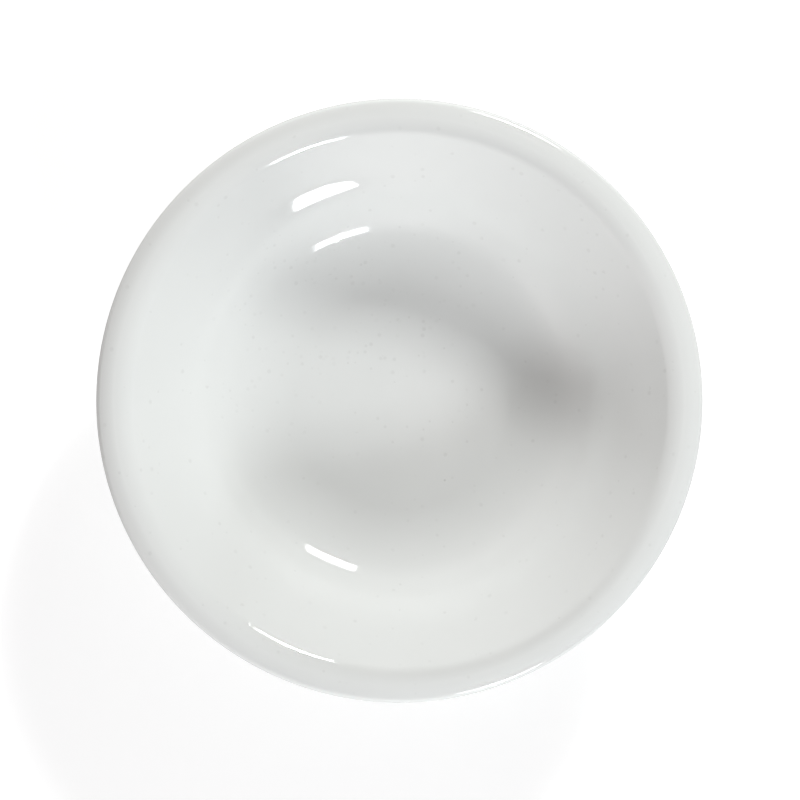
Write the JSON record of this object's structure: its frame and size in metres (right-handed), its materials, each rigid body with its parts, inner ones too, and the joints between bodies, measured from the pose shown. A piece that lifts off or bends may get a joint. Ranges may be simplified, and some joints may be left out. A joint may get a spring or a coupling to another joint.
{
  "type": "evaporating dish",
  "caption": "Shallow round evaporating dish in white glazed porcelain, with a rolled-over rim, a straight sloping wall, a rounded heel and a flat unglazed base.",
  "frame": {"origin": "centre of the flat base, on the surface that the dish stands on", "axes": "+Z is the dish's axis of revolution, up out of the bowl; X and Y lie in the standing surface and are interchangeable"},
  "size_m": [0.08, 0.08, 0.0177],
  "materials": {
    "bare_porcelain": "matte",
    "white_glaze": "gloss"
  },
  "bodies": {
    "root": {"porcelain_body": "bare_porcelain", "inside_glaze": "white_glaze", "outside_glaze": "white_glaze"}
  },
  "joints": []
}
